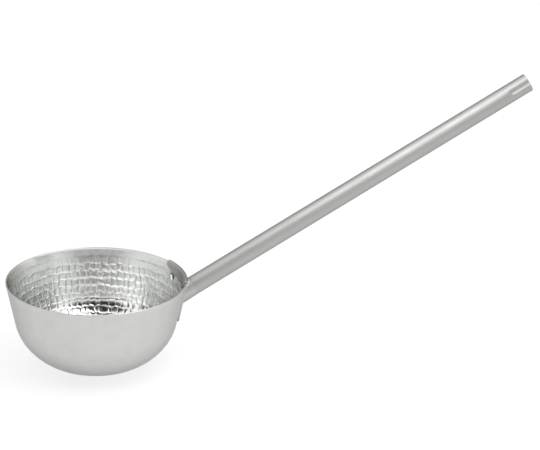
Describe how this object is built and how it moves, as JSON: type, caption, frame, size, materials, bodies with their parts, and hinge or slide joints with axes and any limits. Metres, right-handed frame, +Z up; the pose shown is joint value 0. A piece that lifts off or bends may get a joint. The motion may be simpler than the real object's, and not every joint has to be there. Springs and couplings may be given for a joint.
{
  "type": "water dipper",
  "caption": "All-metal hishaku water dipper: deep hammered bowl, bracket riveted over its rim, and a long slanting pipe handle, for scooping and pouring water.",
  "frame": {"origin": "centre of the bowl's flat foot, on its underside", "axes": "+Z up along the bowl's axis; the handle rises towards +X in the XZ plane"},
  "size_m": [0.4577, 0.15, 0.222],
  "materials": {
    "bowl": "satin, brushed outside and hammered inside",
    "bracket": "satin, pressed sheet",
    "handle": "satin, brushed along the pipe",
    "rivets": "bright, set cold"
  },
  "bodies": {
    "root": {"bowl": "bowl", "bracket": "bracket", "handle": "handle", "rivet_front": "rivets", "rivet_back": "rivets", "rivet_lower": "rivets"}
  },
  "joints": []
}
